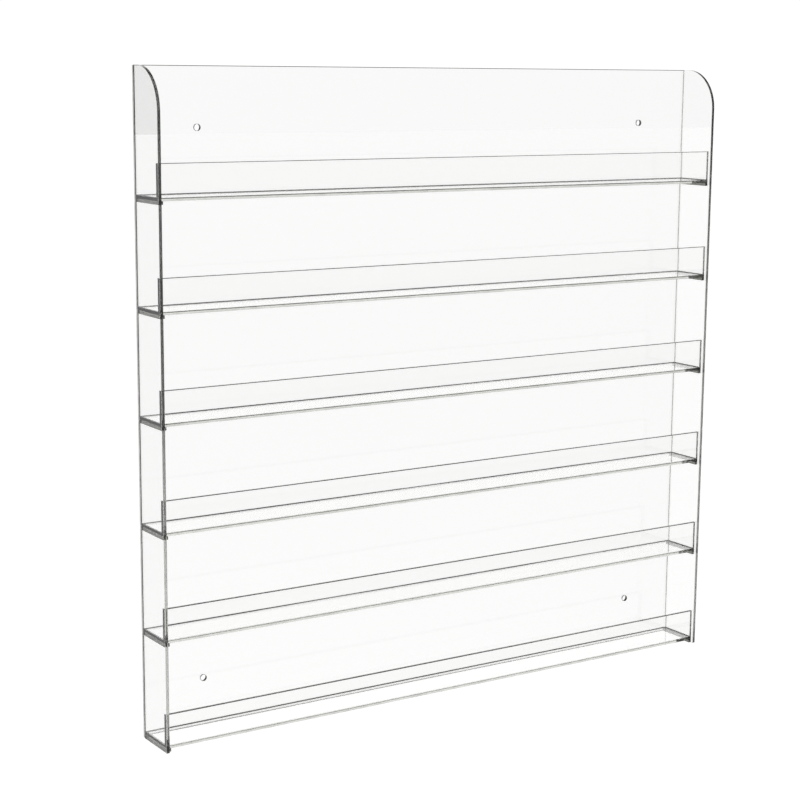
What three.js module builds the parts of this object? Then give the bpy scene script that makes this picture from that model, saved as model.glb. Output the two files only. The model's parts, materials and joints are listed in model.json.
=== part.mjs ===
// Wall-mounted brochure rack of clear cast acrylic sheet, in millimetres.
// A full-width back panel carries two side panels with a rounded top front corner. Six shelves
// span between the side panels, set back from their front edges by one sheet thickness. Each
// shelf rests at both ends on a thin square strip, and a low lip stands on its front edge to hold
// the brochures in.
// The origin is the centre of the back panel's rear face, which lies against the wall.
// +X runs along the width, +Y into the wall and +Z up, so the front faces -Y.
import * as THREE from 'three';

const WIDTH = 640;
const HEIGHT = 620;
const DEPTH = 50;
const SHEET = 3;
const CORNER_RADIUS = 40;

const SHELF_COUNT = 6;
const SHELF_PITCH = 100;
const SHELF_SETBACK = 3;
const LIP_HEIGHT = 30;
const REST_STRIP = 3;

const HOLE_DIAMETER = 6;
const HOLE_FROM_SIDE = 62;
const HOLE_FROM_TOP = 55;
const HOLE_FROM_BOTTOM = 48;

const HOLE_SEGMENTS = 24;
const CORNER_SEGMENTS = 24;

const BOTTOM_Z = -HEIGHT / 2;
const INNER_WIDTH = WIDTH - 2 * SHEET;
const SHELF_FRONT_Y = SHELF_SETBACK - DEPTH;
const SHELF_DEPTH = DEPTH - SHEET - SHELF_SETBACK;

const group = new THREE.Group();

function clearAcrylic() {
  return new THREE.MeshStandardMaterial({
    color: 0xf2f4ee,
    roughness: 0.05,
    metalness: 0,
    transparent: true,
    opacity: 0.3,
  });
}

function addPiece(name, geometry) {
  const piece = new THREE.Mesh(geometry, clearAcrylic());
  piece.name = name;
  group.add(piece);
  return piece;
}

// A rectangular bar given by its lowest corner and its size along X, Y and Z.
function addBar(name, corner, size) {
  const bar = addPiece(name, new THREE.BoxGeometry(...size));
  bar.position.set(
    corner[0] + size[0] / 2,
    corner[1] + size[1] / 2,
    corner[2] + size[2] / 2,
  );
  return bar;
}

// Extrudes an outline by one sheet thickness, with its own x, y and z along the given directions.
function sheetFrom(outline, curveSegments, xDirection, yDirection, zDirection) {
  const geometry = new THREE.ExtrudeGeometry(outline, {
    depth: SHEET,
    bevelEnabled: false,
    curveSegments,
  });
  return geometry.applyMatrix4(
    new THREE.Matrix4().makeBasis(xDirection, yDirection, zDirection),
  );
}

// Full-width sheet with four plain screw holes, two near the top and two near the bottom.
function addBackPanel() {
  const outline = new THREE.Shape();
  outline.moveTo(-WIDTH / 2, BOTTOM_Z);
  outline.lineTo(WIDTH / 2, BOTTOM_Z);
  outline.lineTo(WIDTH / 2, BOTTOM_Z + HEIGHT);
  outline.lineTo(-WIDTH / 2, BOTTOM_Z + HEIGHT);
  outline.closePath();

  const holeX = WIDTH / 2 - HOLE_FROM_SIDE;
  const holeHeights = [BOTTOM_Z + HOLE_FROM_BOTTOM, BOTTOM_Z + HEIGHT - HOLE_FROM_TOP];
  for (const x of [-holeX, holeX]) {
    for (const z of holeHeights) {
      const hole = new THREE.Path();
      hole.absarc(x, z, HOLE_DIAMETER / 2, 0, 2 * Math.PI, true);
      outline.holes.push(hole);
    }
  }

  const along = new THREE.Vector3(1, 0, 0);
  const up = new THREE.Vector3(0, 0, 1);
  const forward = new THREE.Vector3(0, -1, 0);
  addPiece('back_panel', sheetFrom(outline, HOLE_SEGMENTS, along, up, forward));
}

// A side panel stands on the front face of the back panel. The outline runs forward and up.
function addSidePanel(name, lowX) {
  const arcDistance = DEPTH - CORNER_RADIUS;
  const arcHeight = BOTTOM_Z + HEIGHT - CORNER_RADIUS;
  const outline = new THREE.Shape();
  outline.moveTo(SHEET, BOTTOM_Z);
  outline.lineTo(DEPTH, BOTTOM_Z);
  outline.lineTo(DEPTH, arcHeight);
  outline.absarc(arcDistance, arcHeight, CORNER_RADIUS, 0, Math.PI / 2, false);
  outline.lineTo(SHEET, BOTTOM_Z + HEIGHT);
  outline.closePath();

  const forward = new THREE.Vector3(0, -1, 0);
  const up = new THREE.Vector3(0, 0, 1);
  const left = new THREE.Vector3(-1, 0, 0);
  const panel = addPiece(name, sheetFrom(outline, CORNER_SEGMENTS, forward, up, left));
  panel.position.x = lowX + SHEET;
}

// One tier: the two rest strips on the side panels, the shelf on them and the lip on the shelf.
function addTier(number, tierZ) {
  const innerX = INNER_WIDTH / 2;
  const frontY = SHELF_FRONT_Y;
  const shelfZ = tierZ + REST_STRIP;
  const stripSize = [REST_STRIP, SHELF_DEPTH, REST_STRIP];
  addBar(`shelf_rest_left_${number}`, [-innerX, frontY, tierZ], stripSize);
  addBar(`shelf_rest_right_${number}`, [innerX - REST_STRIP, frontY, tierZ], stripSize);
  addBar(`shelf_${number}`, [-innerX, frontY, shelfZ], [INNER_WIDTH, SHELF_DEPTH, SHEET]);
  addBar(`lip_${number}`, [-innerX, frontY, shelfZ + SHEET], [INNER_WIDTH, SHEET, LIP_HEIGHT]);
}

addBackPanel();
addSidePanel('side_panel_left', -WIDTH / 2);
addSidePanel('side_panel_right', WIDTH / 2 - SHEET);
// Tier 1 is the lowest.
for (let tier = 0; tier < SHELF_COUNT; tier += 1) {
  addTier(tier + 1, BOTTOM_Z + tier * SHELF_PITCH);
}

export default group;
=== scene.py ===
"""Looks for the wall-mounted brochure rack: clear cast acrylic sheets cemented edge to face."""

import json
import math

import bmesh
import bpy
from mathutils import Matrix, Vector


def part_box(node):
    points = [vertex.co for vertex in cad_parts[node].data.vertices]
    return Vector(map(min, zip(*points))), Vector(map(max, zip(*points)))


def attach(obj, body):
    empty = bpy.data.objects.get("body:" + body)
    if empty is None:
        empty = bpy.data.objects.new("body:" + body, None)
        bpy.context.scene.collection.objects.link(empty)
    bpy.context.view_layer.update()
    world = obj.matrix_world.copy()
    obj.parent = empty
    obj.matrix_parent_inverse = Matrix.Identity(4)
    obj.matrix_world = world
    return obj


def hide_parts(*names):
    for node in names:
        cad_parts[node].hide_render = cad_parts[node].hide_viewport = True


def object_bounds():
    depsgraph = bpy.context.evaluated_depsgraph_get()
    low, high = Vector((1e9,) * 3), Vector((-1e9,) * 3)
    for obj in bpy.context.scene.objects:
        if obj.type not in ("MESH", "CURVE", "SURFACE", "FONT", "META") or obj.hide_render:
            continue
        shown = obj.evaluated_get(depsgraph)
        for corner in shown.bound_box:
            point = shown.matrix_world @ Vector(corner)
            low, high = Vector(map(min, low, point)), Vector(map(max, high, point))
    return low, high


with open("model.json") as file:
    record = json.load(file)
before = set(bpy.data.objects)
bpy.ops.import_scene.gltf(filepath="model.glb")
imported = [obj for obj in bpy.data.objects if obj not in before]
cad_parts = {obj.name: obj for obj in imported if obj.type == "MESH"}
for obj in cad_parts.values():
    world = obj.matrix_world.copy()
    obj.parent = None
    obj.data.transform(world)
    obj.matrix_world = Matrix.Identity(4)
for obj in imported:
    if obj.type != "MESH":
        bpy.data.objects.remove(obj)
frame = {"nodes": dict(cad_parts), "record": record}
cad_low, cad_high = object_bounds()
boxes = {node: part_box(node) for node in frame["nodes"]}

X, Y, Z = range(3)
RIGHT = Vector((1, 0, 0))
LEFT = Vector((-1, 0, 0))
BACK = Vector((0, 1, 0))
FRONT = Vector((0, -1, 0))
UP = Vector((0, 0, 1))

# Sizes of the sheets, in metres like all lengths here.
SHEET = 0.003
SHELF_COUNT = 6
CORNER_RADIUS = 0.040
CORNER_STEPS = 64
HOLE_RADIUS = 0.003
HOLE_STEPS = 64

# Rounding of the free sharp edges: after cutting, after flame polishing and at the holes' rims.
CUT_ROUND = 0.0003
POLISHED_ROUND = 0.0006
HOLE_RIM_ROUND = 0.0005
ROUND_STEPS = 3
SHARP_ANGLE = math.radians(30)

# Concave beads of cement in the inside corners, just clear of the two walls.
BEAD_LEG = 0.0006
BEAD_GAP = 0.00003
BEAD_STEPS = 4

# Solids closer than TOUCH are in contact. Their outlines are rounded to PLACE_DIGITS decimals.
TOUCH = 0.0002
PLACE_DIGITS = 5

# A face counts as facing along an axis when its normal's part along that axis is above MOSTLY.
# It is a strip of a curve when no part of its normal reaches EXACTLY.
MOSTLY = 0.5
EXACTLY = 0.9999

# Material slots of the pieces. The fifth one holds the beads of a shelf or a lip, and on the back
# panel the two end edges.
FACE = 0
CUT_EDGE = 1
END_JOINT = 2
SEAM_JOINT = 3
BEAD = 4
PANEL_END = 4

# The camera: where it stands, which way it looks and its lens on a 36 mm sensor.
CAMERA_PLACE = (-1.0132, -1.5063, 0.3039)
CAMERA_HEADING = math.radians(32.96)
CAMERA_TILT = math.radians(-10.06)
CAMERA_ROLL = math.radians(0.44)
CAMERA_LENS = 82.75
SENSOR_WIDTH = 36.0

# The floor. It glows more behind the rack than in front, and changes over a span along Y.
FLOOR_DROP = 0.90
FLOOR_SIZE = 80.0
FLOOR_COLOUR = (0.55, 0.55, 0.55)
FLOOR_ROUGHNESS = 0.9
FLOOR_SPECULAR = 0.1
FLOOR_SPAN = (-2.5, -0.5)
FLOOR_GLOW = (0.50, 0.812)

# The world. Its strength changes from the room to the backdrop over a span of the cosine of the
# angle to the camera's heading. Over two spans of height it gains a little and fades again.
BACKDROP_SPAN = (0.75, 0.92)
BACKDROP_LIGHT = (0.45, 1.04)
RAISED_SPAN = (0.05, 0.15)
RAISED_GAIN = (1.0, 1.08)
FADE_SPAN = (0.35, 0.85)
FADE_GAIN = (1.0, 0.5)

SOFTBOX_PLACE = (-1.8, -1.6, 2.4)
SOFTBOX_SIZE = 2.0
SOFTBOX_POWER = 40

# The sheet material: its refraction, the blue of its cut edges as a share of their red and green,
# and how much rougher their rubbed parts are.
ACRYLIC_IOR = 1.49
EDGE_BLUE = 0.94
EDGE_WEAR = 3


# ---------------------------------------------------------------- shader nodes


def value_node(tree, operation, first, second):
    node = tree.nodes.new("ShaderNodeMath")
    node.operation = operation
    for socket, value in zip(node.inputs, (first, second)):
        if isinstance(value, bpy.types.NodeSocket):
            tree.links.new(value, socket)
        else:
            socket.default_value = value
    return node.outputs["Value"]


def smooth_range(tree, value, span, results):
    """Goes smoothly from the first of the results to the second as the value crosses the span."""
    ramp = tree.nodes.new("ShaderNodeMapRange")
    ramp.interpolation_type = "SMOOTHSTEP"
    ramp.inputs["From Min"].default_value = span[0]
    ramp.inputs["From Max"].default_value = span[1]
    ramp.inputs["To Min"].default_value = results[0]
    ramp.inputs["To Max"].default_value = results[1]
    tree.links.new(value, ramp.inputs["Value"])
    return ramp.outputs["Result"]


def axis_value(tree, place, axis):
    """One axis of a place."""
    split = tree.nodes.new("ShaderNodeSeparateXYZ")
    tree.links.new(place, split.inputs["Vector"])
    return split.outputs[axis]


def noise_value(tree, place, scale, detail, stretch=(1, 1, 1)):
    """Noise over the piece, with its grain stretched along an axis where stretch is below 1."""
    mapping = tree.nodes.new("ShaderNodeMapping")
    mapping.inputs["Scale"].default_value = stretch
    noise = tree.nodes.new("ShaderNodeTexNoise")
    noise.inputs["Scale"].default_value = scale
    noise.inputs["Detail"].default_value = detail
    tree.links.new(place, mapping.inputs["Vector"])
    tree.links.new(mapping.outputs["Vector"], noise.inputs["Vector"])
    return noise.outputs["Fac"]


def add_bump(tree, shader, height, strength, distance, under=None):
    """Bumps the shader's surface by the height, on top of the normal from the bump under it."""
    bump = tree.nodes.new("ShaderNodeBump")
    bump.inputs["Strength"].default_value = strength
    bump.inputs["Distance"].default_value = distance
    tree.links.new(height, bump.inputs["Height"])
    if under is not None:
        tree.links.new(under, bump.inputs["Normal"])
    tree.links.new(bump.outputs["Normal"], shader.inputs["Normal"])
    return bump.outputs["Normal"]


# ---------------------------------------------------------------- camera and studio


def add_camera():
    forward = Vector(
        (
            math.sin(CAMERA_HEADING) * math.cos(CAMERA_TILT),
            math.cos(CAMERA_HEADING) * math.cos(CAMERA_TILT),
            math.sin(CAMERA_TILT),
        )
    )
    level_right = forward.cross(UP).normalized()
    level_up = level_right.cross(forward)
    right = level_right * math.cos(CAMERA_ROLL) + level_up * math.sin(CAMERA_ROLL)
    up = right.cross(forward)
    turn = Matrix((right, up, -forward)).transposed()
    data = bpy.data.cameras.new("camera")
    data.lens = CAMERA_LENS
    data.sensor_width = SENSOR_WIDTH
    data.dof.use_dof = False
    camera = bpy.data.objects.new("camera", data)
    camera.matrix_world = Matrix.Translation(CAMERA_PLACE) @ turn.to_4x4()
    bpy.context.scene.collection.objects.link(camera)
    bpy.context.scene.camera = camera


def floor_material():
    material = bpy.data.materials.new("pale_floor")
    material.use_nodes = True
    tree = material.node_tree
    shader = tree.nodes["Principled BSDF"]
    shader.inputs["Base Color"].default_value = (*FLOOR_COLOUR, 1)
    shader.inputs["Roughness"].default_value = FLOOR_ROUGHNESS
    shader.inputs["Specular IOR Level"].default_value = FLOOR_SPECULAR
    shader.inputs["Emission Color"].default_value = (1, 1, 1, 1)
    place = tree.nodes.new("ShaderNodeTexCoord").outputs["Object"]
    glow = smooth_range(tree, axis_value(tree, place, "Y"), FLOOR_SPAN, FLOOR_GLOW)
    tree.links.new(glow, shader.inputs["Emission Strength"])
    return material


def add_floor():
    """A wide floor well below the rack, as the rack hangs on a wall."""
    half = FLOOR_SIZE / 2
    z = cad_low.z - FLOOR_DROP
    mesh = bpy.data.meshes.new("floor")
    corners = [(-half, -half, z), (half, -half, z), (half, half, z), (-half, half, z)]
    mesh.from_pydata(corners, [], [(0, 1, 2, 3)])
    mesh.materials.append(floor_material())
    floor = bpy.data.objects.new("floor", mesh)
    bpy.context.scene.collection.objects.link(floor)


def add_world():
    """A lit backdrop behind the rack, and a dimmer room all round it."""
    world = bpy.data.worlds.new("studio")
    bpy.context.scene.world = world
    world.use_nodes = True
    tree = world.node_tree
    background = tree.nodes["Background"]
    background.inputs["Color"].default_value = (1, 1, 1, 1)
    direction = tree.nodes.new("ShaderNodeTexCoord").outputs["Generated"]
    ahead = tree.nodes.new("ShaderNodeVectorMath")
    ahead.operation = "DOT_PRODUCT"
    ahead.inputs[1].default_value = (math.sin(CAMERA_HEADING), math.cos(CAMERA_HEADING), 0)
    tree.links.new(direction, ahead.inputs[0])
    backdrop = smooth_range(tree, ahead.outputs["Value"], BACKDROP_SPAN, BACKDROP_LIGHT)
    height = axis_value(tree, direction, "Z")
    raised = smooth_range(tree, height, RAISED_SPAN, RAISED_GAIN)
    fade = smooth_range(tree, height, FADE_SPAN, FADE_GAIN)
    shaped = value_node(tree, "MULTIPLY", backdrop, raised)
    strength = value_node(tree, "MULTIPLY", shaped, fade)
    tree.links.new(strength, background.inputs["Strength"])


def add_softbox():
    """A round softbox high on the left in front, aimed at the rack's origin."""
    data = bpy.data.lights.new("key_softbox", "AREA")
    data.shape = "DISK"
    data.size = SOFTBOX_SIZE
    data.energy = SOFTBOX_POWER
    lamp = bpy.data.objects.new("key_softbox", data)
    lamp.location = SOFTBOX_PLACE
    aim = -Vector(SOFTBOX_PLACE)
    lamp.rotation_euler = aim.to_track_quat("-Z", "Y").to_euler()
    bpy.context.scene.collection.objects.link(lamp)


def set_light_paths():
    """Lets light pass through all the sheets that lie behind each other."""
    cycles = bpy.context.scene.cycles
    cycles.max_bounces = 48
    cycles.transmission_bounces = 48
    cycles.glossy_bounces = 24
    cycles.transparent_max_bounces = 64
    cycles.caustics_refractive = True
    cycles.caustics_reflective = True
    bpy.context.scene.view_settings.view_transform = "Standard"


# ---------------------------------------------------------------- materials


def clear_acrylic(name):
    material = bpy.data.materials.new(name)
    material.use_nodes = True
    shader = material.node_tree.nodes["Principled BSDF"]
    shader.inputs["IOR"].default_value = ACRYLIC_IOR
    shader.inputs["Transmission Weight"].default_value = 1.0
    return material, shader


def sheet_face_material(name, colour):
    """Polished cast face: faint waviness of cast sheet, faint smears and hairline scratches."""
    material, shader = clear_acrylic(name)
    shader.inputs["Base Color"].default_value = (*colour, 1)
    tree = material.node_tree
    place = tree.nodes.new("ShaderNodeTexCoord").outputs["Object"]
    smears = noise_value(tree, place, scale=7.0, detail=4.0, stretch=(1.0, 1.0, 0.4))
    haze = smooth_range(tree, smears, span=(0.52, 0.75), results=(0.0, 0.03))
    tree.links.new(haze, shader.inputs["Roughness"])
    wave = noise_value(tree, place, scale=9.0, detail=1.0)
    waved = add_bump(tree, shader, wave, strength=0.02, distance=0.001)
    grain = noise_value(tree, place, scale=900.0, detail=2.0, stretch=(0.02, 1.0, 1.0))
    scratch = smooth_range(tree, grain, span=(0.68, 0.74), results=(0.0, 1.0))
    add_bump(tree, shader, scratch, strength=0.04, distance=0.00002, under=waved)
    return material


def cut_edge_material(name, shade_and_tint_of, roughness=0.04, clearness=1.0, specular=0.5):
    """Cut and flame-polished edge, with fine marks left across the sheet by the cutter. The
    function given second makes the nodes for the edge's grey, which on the panels', shelves' and
    lips' cut edges is painted shade. Clearness is the share of the light that passes and is not
    scattered."""
    material, shader = clear_acrylic(name)
    shader.inputs["Transmission Weight"].default_value = clearness
    shader.inputs["Specular IOR Level"].default_value = specular
    tree = material.node_tree
    places = tree.nodes.new("ShaderNodeTexCoord")
    place = places.outputs["Object"]
    patches = noise_value(tree, place, scale=60.0, detail=3.0)
    uneven = smooth_range(tree, patches, span=(0.3, 0.7), results=(0.85, 1.15))
    shade = value_node(tree, "MULTIPLY", shade_and_tint_of(tree, places), uneven)
    colour = tree.nodes.new("ShaderNodeCombineColor")
    tree.links.new(shade, colour.inputs["Red"])
    tree.links.new(shade, colour.inputs["Green"])
    tree.links.new(value_node(tree, "MULTIPLY", shade, EDGE_BLUE), colour.inputs["Blue"])
    tree.links.new(colour.outputs["Color"], shader.inputs["Base Color"])
    rubbed = noise_value(tree, place, scale=150.0, detail=2.0)
    wear = (roughness, roughness * EDGE_WEAR)
    worn = smooth_range(tree, rubbed, span=(0.3, 0.7), results=wear)
    tree.links.new(worn, shader.inputs["Roughness"])
    marks = noise_value(tree, place, scale=1200.0, detail=1.0, stretch=(1.0, 0.1, 1.0))
    add_bump(tree, shader, marks, strength=0.15, distance=0.00003)
    return material


def joint_material(name, colour):
    """Cemented contact: light passes from sheet to sheet and loses a little in the cement."""
    material = bpy.data.materials.new(name)
    material.use_nodes = True
    tree = material.node_tree
    tree.nodes.clear()
    clear = tree.nodes.new("ShaderNodeBsdfTransparent")
    clear.inputs["Color"].default_value = (*colour, 1)
    out = tree.nodes.new("ShaderNodeOutputMaterial")
    tree.links.new(clear.outputs["BSDF"], out.inputs["Surface"])
    return material


# A grey that is the same all along the edge; at the near-black levels it is painted shade.
def even_shade_and_tint(shade_and_tint):
    def shade_and_tint_of(tree, places):
        node = tree.nodes.new("ShaderNodeValue")
        node.outputs["Value"].default_value = shade_and_tint
        return node.outputs["Value"]

    return shade_and_tint_of


def graded_shade(axis, span, shades):
    """Painted shade: a grey that changes from the first level to the second over a span of an axis.
    """

    def shade_and_tint_of(tree, places):
        along = axis_value(tree, places.outputs["Object"], axis)
        return smooth_range(tree, along, span, shades)

    return shade_and_tint_of


def left_edge_shade(tree, places):
    """Painted shade on the left panel's cut edge: dark high up, clearer low down and dark again at
    the foot.
    """
    height = axis_value(tree, places.outputs["Object"], "Z")
    rising = smooth_range(tree, height, span=(-0.20, 0.05), results=(0.34, 0.016))
    foot = smooth_range(tree, height, span=(-0.306, -0.298), results=(0.05, 1.0))
    return value_node(tree, "MULTIPLY", rising, foot)


def shelf_edge_shade(tree, places):
    """Clear below, and darker along the top, under the lip. That line is painted shade, darker on
    the upper shelves."""
    height = axis_value(tree, places.outputs["Object"], "Z")
    line = smooth_range(tree, height, span=(-0.3, 0.1), results=(0.14, 0.02))
    share = axis_value(tree, places.outputs["Generated"], "Z")
    clear = smooth_range(tree, share, span=(0.52, 0.66), results=(0.60, 0.0))
    return value_node(tree, "MAXIMUM", line, clear)


def make_materials():
    """The materials under the names by which the pieces choose them."""
    # Painted shade: the back panel's end edges go darker from the left end to the right end.
    panel_end_shade = graded_shade("X", span=(-0.3, 0.3), shades=(0.95, 0.80))
    # Painted shade: the right panel's cut edge goes from grey low down to near black at its top.
    right_edge_shade = graded_shade("Z", span=(0.0, 0.29), shades=(0.26, 0.012))
    return {
        "panel_face": sheet_face_material("clear_panel_face", (0.950, 0.953, 0.947)),
        "shelf_face": sheet_face_material("clear_shelf_face", (0.998, 0.998, 0.994)),
        "end_joint": joint_material("cement_end_joint", (0.45, 0.455, 0.44)),
        "seam_joint": joint_material("cement_seam", (0.90, 0.905, 0.895)),
        "panel_end": cut_edge_material("panel_cut_edge", panel_end_shade, clearness=0.5),
        # Painted shade: the back panel's other cut edges are near black.
        "panel_edge": cut_edge_material("panel_top_edge", even_shade_and_tint(0.02), clearness=0.5),
        "left_edge": cut_edge_material("left_cut_edge", left_edge_shade),
        "right_edge": cut_edge_material(
            "right_cut_edge", right_edge_shade, clearness=0.5, specular=0.15
        ),
        "shelf_edge": cut_edge_material("shelf_cut_edge", shelf_edge_shade),
        # Painted shade: the lips' cut edges are near black.
        "lip_edge": cut_edge_material("lip_cut_edge", even_shade_and_tint(0.02)),
        "rest_edge": cut_edge_material("rest_cut_edge", even_shade_and_tint(0.45), roughness=0.08),
        "bead": cut_edge_material("cement_bead", even_shade_and_tint(0.12), roughness=0.05),
    }


# ---------------------------------------------------------------- shapes


def box_outline(low, high, across, up):
    return [
        (low[across], low[up]),
        (high[across], low[up]),
        (high[across], high[up]),
        (low[across], high[up]),
    ]


def side_outline(low, high):
    """Side panel seen from its side, as (y, z): square but for its rounded top front corner."""
    centre_y = low.y + CORNER_RADIUS
    centre_z = high.z - CORNER_RADIUS
    points = [(high.y, low.z), (high.y, high.z)]
    for step in range(CORNER_STEPS + 1):
        angle = math.pi / 2 * (1 + step / CORNER_STEPS)
        y = centre_y + CORNER_RADIUS * math.cos(angle)
        z = centre_z + CORNER_RADIUS * math.sin(angle)
        points.append((y, z))
    points.append((low.y, low.z))
    return points


def hole_outline(centre_x, centre_z):
    turns = [2 * math.pi * step / HOLE_STEPS for step in range(HOLE_STEPS)]
    return [
        (centre_x + HOLE_RADIUS * math.cos(turn), centre_z + HOLE_RADIUS * math.sin(turn))
        for turn in turns
    ]


def extruded(outlines, thin, low, high):
    """A solid with these outlines, the first outside and the others holes, from low to high along
    its thin axis. The outlines' coordinates are along the two other axes, in X, Y, Z order."""
    across, up = [axis for axis in (X, Y, Z) if axis != thin]
    bm = bmesh.new()
    rims = []
    for outline in outlines:
        corners = []
        for a, b in outline:
            place = Vector()
            place[across] = a
            place[up] = b
            place[thin] = low[thin]
            corners.append(bm.verts.new(place))
        for index, corner in enumerate(corners):
            rims.append(bm.edges.new((corners[index - 1], corner)))
    bmesh.ops.triangle_fill(bm, use_beauty=True, use_dissolve=True, edges=rims)
    raised = bmesh.ops.extrude_face_region(bm, geom=bm.faces[:])
    lift = Vector()
    lift[thin] = high[thin] - low[thin]
    moved = [item for item in raised["geom"] if isinstance(item, bmesh.types.BMVert)]
    bmesh.ops.translate(bm, vec=lift, verts=moved)
    bmesh.ops.recalc_face_normals(bm, faces=bm.faces[:])
    return bm


def touching_boxes(node):
    """The boxes of the nodes that this node touches."""
    low, high = boxes[node]
    found = []
    for other, (other_low, other_high) in boxes.items():
        gaps = sorted(
            max(low[axis] - other_high[axis], other_low[axis] - high[axis]) for axis in (X, Y, Z)
        )
        if other != node and gaps[2] < TOUCH and gaps[1] < -TOUCH:
            found.append((other_low, other_high))
    return found


def cut_along(bm, neighbours, low, high):
    """Cuts the faces along the neighbours' outlines, so that each contact has its own faces."""
    for axis in (X, Y, Z):
        places = {round(corner[axis], PLACE_DIGITS) for pair in neighbours for corner in pair}
        for place in sorted(places):
            if low[axis] + TOUCH < place < high[axis] - TOUCH:
                point = Vector()
                point[axis] = place
                normal = Vector()
                normal[axis] = 1
                bmesh.ops.bisect_plane(
                    bm,
                    geom=bm.verts[:] + bm.edges[:] + bm.faces[:],
                    plane_co=point,
                    plane_no=normal,
                )


def inside(point, pair):
    return all(pair[0][axis] < point[axis] < pair[1][axis] for axis in (X, Y, Z))


def is_curved(face):
    return max(abs(value) for value in face.normal) < EXACTLY


def set_slots(bm, neighbours, thin):
    """Gives each face its slot: a contact with a neighbour, a face of the sheet or a cut edge."""
    for face in bm.faces:
        outside = face.calc_center_median() + face.normal * TOUCH
        if any(inside(outside, pair) for pair in neighbours):
            face.material_index = END_JOINT if abs(face.normal.x) > MOSTLY else SEAM_JOINT
        elif abs(face.normal[thin]) > MOSTLY:
            face.material_index = FACE
        else:
            face.material_index = CUT_EDGE


def set_end_slots(bm, end_x, rounding):
    """Moves the left and right end edges to their own slot, with their rounded corners."""
    for face in bm.faces:
        at_end = abs(face.calc_center_median().x) > end_x - rounding
        if face.material_index == CUT_EDGE and at_end:
            face.material_index = PANEL_END


def round_edges(bm, rounding, at_curves):
    """Rounds the sharp edges that touch no joint, either those at curved faces or the others."""
    free = []
    for edge in bm.edges:
        faces = edge.link_faces
        joined = any(face.material_index in (END_JOINT, SEAM_JOINT) for face in faces)
        if joined or edge.calc_face_angle() < SHARP_ANGLE:
            continue
        if any(is_curved(face) for face in faces) == at_curves:
            free.append(edge)
    if not free:
        return
    made = bmesh.ops.bevel(
        bm,
        geom=free,
        offset=rounding,
        segments=ROUND_STEPS,
        profile=0.5,
        affect="EDGES",
        clamp_overlap=True,
        material=CUT_EDGE,
    )
    for face in made["faces"]:
        face.smooth = True


def add_bead(bm, start, end, first, second):
    """A concave bead of cement along an inside corner, from start to end. The two directions
    point from the corner along the two walls that it joins."""
    corner = (first + second) * BEAD_GAP
    profile = [corner]
    for step in range(BEAD_STEPS + 1):
        angle = math.pi / 2 * step / BEAD_STEPS
        along_first = BEAD_LEG * (1 - math.sin(angle))
        along_second = BEAD_LEG * (1 - math.cos(angle))
        profile.append(corner + first * along_first + second * along_second)
    rings = [[bm.verts.new(Vector(place) + point) for point in profile] for place in (start, end)]
    made = [bm.faces.new(rings[0]), bm.faces.new(reversed(rings[1]))]
    for index in range(len(profile)):
        after = (index + 1) % len(profile)
        made.append(
            bm.faces.new((rings[0][index], rings[1][index], rings[1][after], rings[0][after]))
        )
    bmesh.ops.recalc_face_normals(bm, faces=made)
    for face in made:
        face.material_index = BEAD


def finish_piece(node, bm, thin, materials, rounding=CUT_ROUND, beads=(), ends_apart=False):
    """Cuts the solid at its contacts, rounds its free edges, adds its beads and puts it in the
    scene. With ends_apart, its left and right end edges have a slot of their own."""
    low, high = boxes[node]
    neighbours = touching_boxes(node)
    cut_along(bm, neighbours, low, high)
    set_slots(bm, neighbours, thin)
    for face in bm.faces:
        face.smooth = is_curved(face)
    round_edges(bm, HOLE_RIM_ROUND, at_curves=True)
    round_edges(bm, rounding, at_curves=False)
    if ends_apart:
        set_end_slots(bm, high.x, rounding)
    for bead in beads:
        add_bead(bm, *bead)
    mesh = bpy.data.meshes.new(node + "_looks")
    bm.to_mesh(mesh)
    bm.free()
    for material in materials:
        mesh.materials.append(material)
    piece = bpy.data.objects.new(node + "_looks", mesh)
    bpy.context.scene.collection.objects.link(piece)
    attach(piece, "root")
    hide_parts(node)


# ---------------------------------------------------------------- the rack


def screw_hole_centres():
    """The (x, z) centres of the screw holes, from the record's openings."""
    centres = []
    for opening in frame["record"]["physics"]["openings"]:
        if opening["name"].startswith("screw_hole"):
            low, high = opening["box_m"]
            centres.append(((low[X] + high[X]) / 2, (low[Z] + high[Z]) / 2))
    return centres


def add_back_panel(looks):
    node = "back_panel"
    low, high = boxes[node]
    outlines = [box_outline(low, high, X, Z)]
    for x, z in screw_hole_centres():
        outlines.append(hole_outline(x, z))
    bm = extruded(outlines, Y, low, high)
    slots = ("panel_face", "panel_edge", "end_joint", "seam_joint", "panel_end")
    materials = [looks[name] for name in slots]
    finish_piece(node, bm, Y, materials, POLISHED_ROUND, ends_apart=True)


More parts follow.
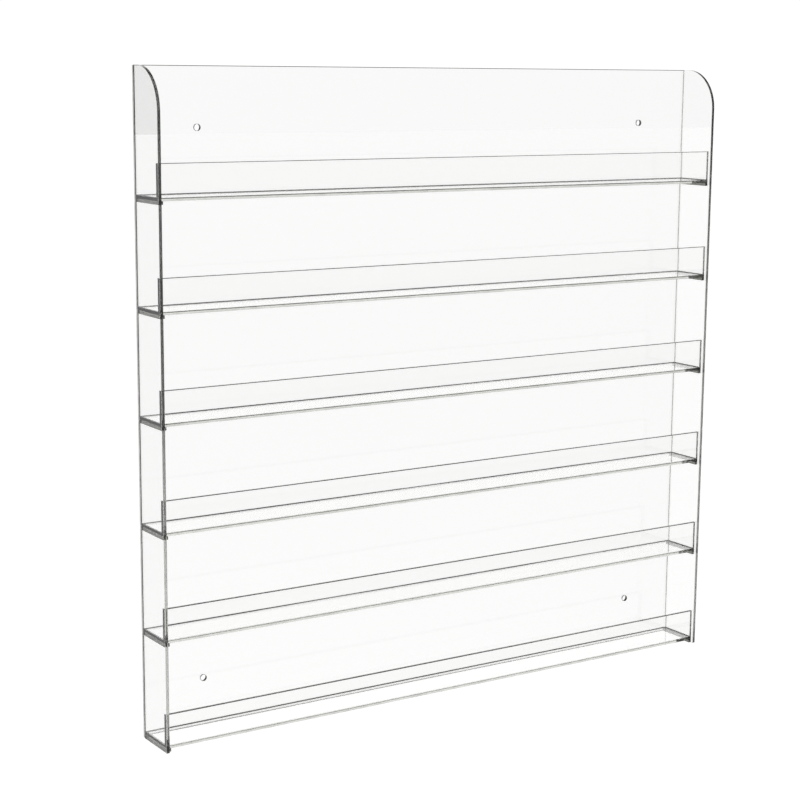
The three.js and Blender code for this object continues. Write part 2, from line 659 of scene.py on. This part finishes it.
def add_side_panel(looks, side):
    node = f"side_panel_{side}"
    low, high = boxes[node]
    bm = extruded([side_outline(low, high)], X, low, high)
    slots = ("panel_face", f"{side}_edge", "end_joint", "seam_joint")
    finish_piece(node, bm, X, [looks[name] for name in slots])


def add_shelf(looks, number):
    """The shelf, with cement where it meets the back panel and, behind the lip, the side panels."""
    node = f"shelf_{number}"
    low, high = boxes[node]
    bm = extruded([box_outline(low, high, X, Y)], Z, low, high)
    lip_back = low.y + SHEET
    beads = [((low.x, high.y, high.z), (high.x, high.y, high.z), FRONT, UP)]
    for x, inward in ((low.x, RIGHT), (high.x, LEFT)):
        beads.append(((x, lip_back, high.z), (x, high.y - BEAD_LEG, high.z), inward, UP))
    slots = ("shelf_face", "shelf_edge", "end_joint", "seam_joint", "bead")
    finish_piece(node, bm, Z, [looks[name] for name in slots], beads=beads)


def add_lip(looks, number):
    """The lip, with cement up its two back corners and its front left one, at the side panels."""
    node = f"lip_{number}"
    low, high = boxes[node]
    bm = extruded([box_outline(low, high, X, Z)], Y, low, high)
    beads = []
    for x, inward in ((low.x, RIGHT), (high.x, LEFT)):
        beads.append(((x, high.y, low.z + BEAD_LEG), (x, high.y, high.z), inward, BACK))
    beads.append(((low.x, low.y, low.z), (low.x, low.y, high.z), RIGHT, FRONT))
    slots = ("shelf_face", "lip_edge", "end_joint", "seam_joint", "bead")
    finish_piece(node, bm, Y, [looks[name] for name in slots], POLISHED_ROUND, beads)


def add_shelf_rest(looks, side, number):
    node = f"shelf_rest_{side}_{number}"
    low, high = boxes[node]
    bm = extruded([box_outline(low, high, X, Y)], Z, low, high)
    slots = ("rest_edge", "rest_edge", "end_joint", "seam_joint")
    finish_piece(node, bm, Z, [looks[name] for name in slots])


def build_rack():
    looks = make_materials()
    add_back_panel(looks)
    for side in ("left", "right"):
        add_side_panel(looks, side)
    for number in range(1, SHELF_COUNT + 1):
        add_shelf(looks, number)
        add_lip(looks, number)
        for side in ("left", "right"):
            add_shelf_rest(looks, side, number)


add_camera()
add_world()
add_floor()
add_softbox()
build_rack()
set_light_paths()
